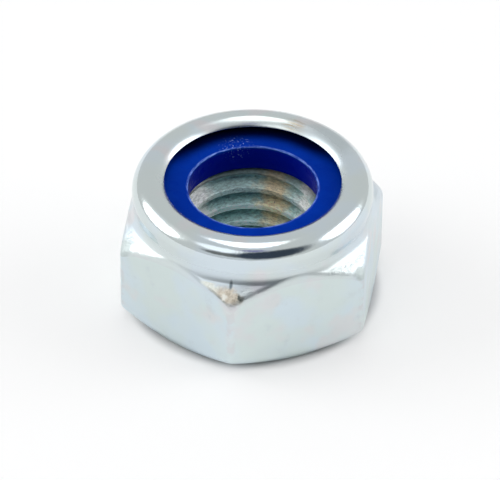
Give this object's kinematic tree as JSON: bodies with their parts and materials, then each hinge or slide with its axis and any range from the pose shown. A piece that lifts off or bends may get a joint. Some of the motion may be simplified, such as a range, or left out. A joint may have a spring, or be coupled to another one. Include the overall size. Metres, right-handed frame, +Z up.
{
  "type": "nylon insert lock nut",
  "caption": "Hexagon lock nut with a threaded steel body and a nylon ring held under a rolled lip, which grips the bolt so that it can't work loose.",
  "frame": {"origin": "centre of the bearing face, on the thread axis", "axes": "+Z up along the thread axis, from the bearing face to the insert; two opposite wrench flats face +X and -X, so corners point along +Y and -Y"},
  "size_m": [0.017, 0.0194, 0.0099],
  "materials": {
    "zinc_plated_steel": "bright blue-white zinc plating, smooth and reflective, dull in the thread",
    "nylon": "glossy deep blue nylon"
  },
  "bodies": {
    "root": {"nut_body": "zinc_plated_steel", "nylon_insert": "nylon"}
  },
  "joints": []
}
